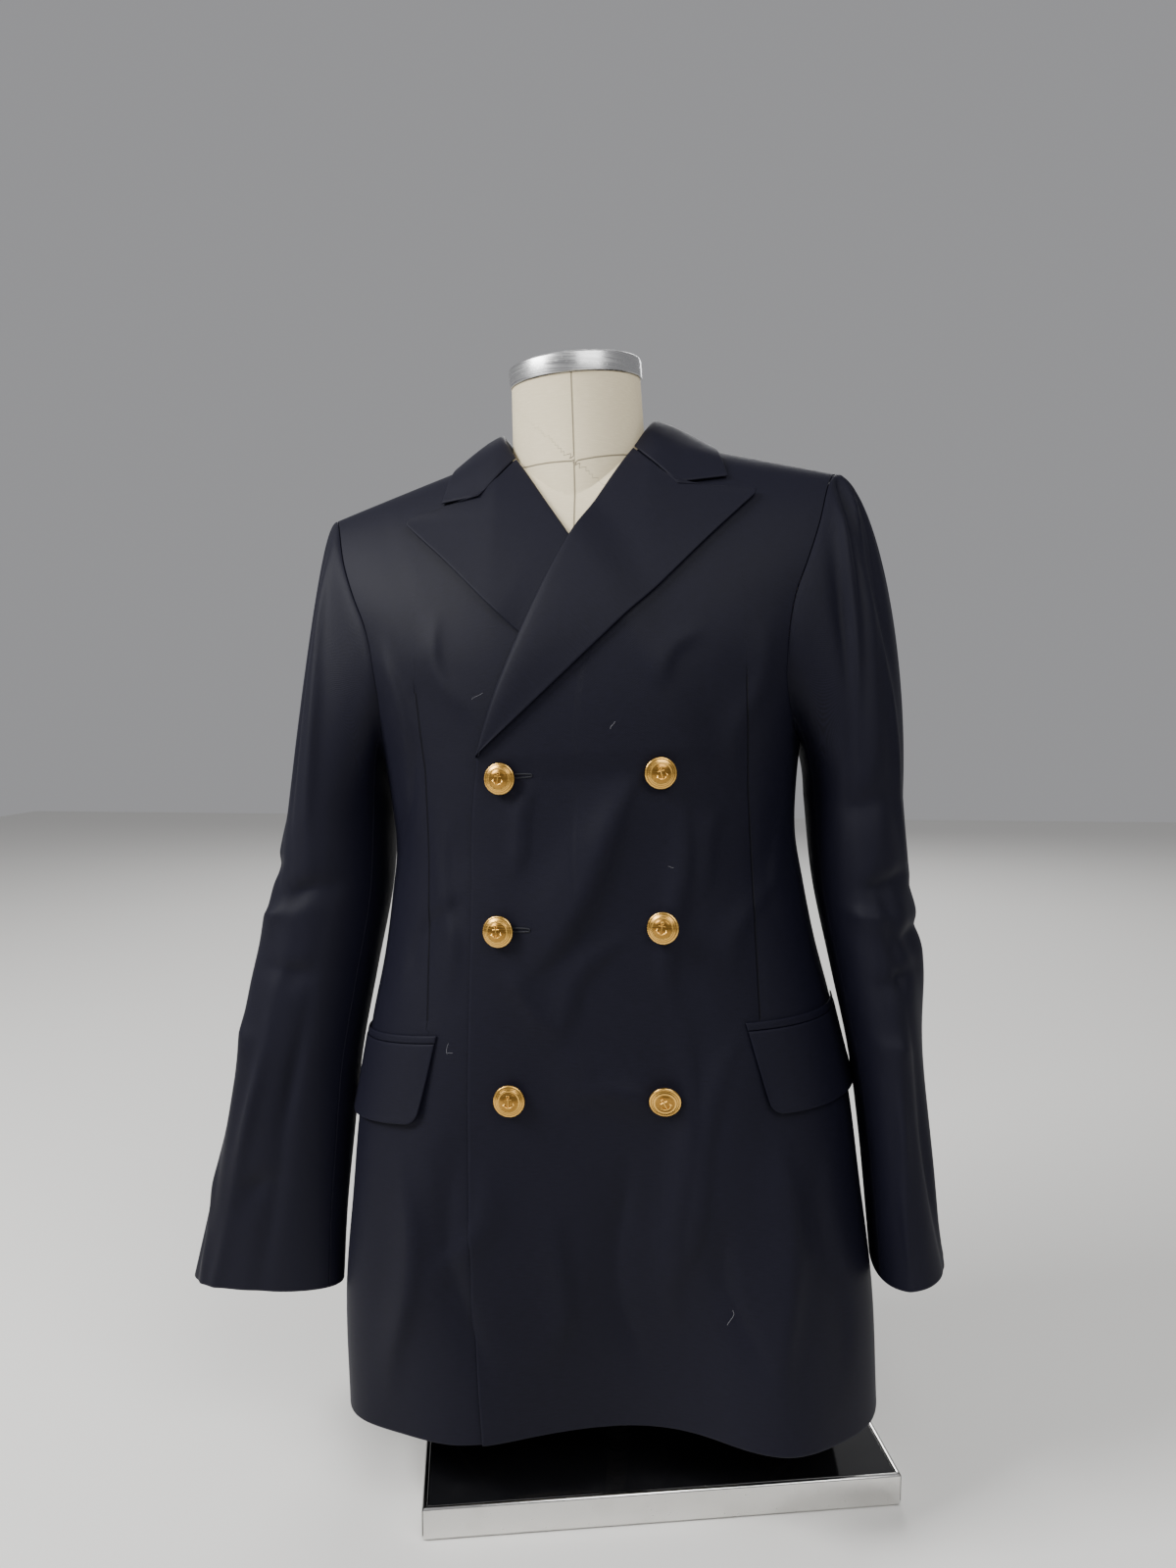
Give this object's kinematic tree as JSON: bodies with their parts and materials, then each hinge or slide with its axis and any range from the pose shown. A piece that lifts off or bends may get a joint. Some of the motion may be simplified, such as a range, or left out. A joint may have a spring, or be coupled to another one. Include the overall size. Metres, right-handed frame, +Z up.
{
  "type": "double-breasted jacket on a dress form",
  "caption": "Double-breasted jacket with peak lapels, flap pockets and gilt buttons, worn on a limbless dress form on a low rectangular stand.",
  "frame": {"origin": "centre of the underside of the base", "axes": "+Z up, jacket faces -Y, wearer's left at +X"},
  "size_m": [0.6307, 0.3512, 0.9402],
  "materials": {
    "navy_wool": "fine matte twill",
    "brushed_gilt": "brushed",
    "cream_linen": "plain weave stretched over the form",
    "polished_steel": "polished, with fine brush marks",
    "gloss_black": "gloss"
  },
  "bodies": {
    "root": {"front_left": "navy_wool", "front_right": "navy_wool", "side_left": "navy_wool", "side_right": "navy_wool", "back_left": "navy_wool", "back_right": "navy_wool", "lapel_left": "navy_wool", "lapel_right": "navy_wool", "collar": "navy_wool", "top_sleeve_left": "navy_wool", "top_sleeve_right": "navy_wool", "under_sleeve_left": "navy_wool", "under_sleeve_right": "navy_wool", "welt_left": "navy_wool", "welt_right": "navy_wool", "flap_left": "navy_wool", "flap_right": "navy_wool", "button_1": "brushed_gilt", "button_2": "brushed_gilt", "button_3": "brushed_gilt", "button_4": "brushed_gilt", "button_5": "brushed_gilt", "button_6": "brushed_gilt", "form_body": "cream_linen", "neck_cap": "polished_steel", "pole": "polished_steel", "pole_socket": "polished_steel", "base_trim": "polished_steel", "base_plate": "gloss_black"}
  },
  "joints": []
}
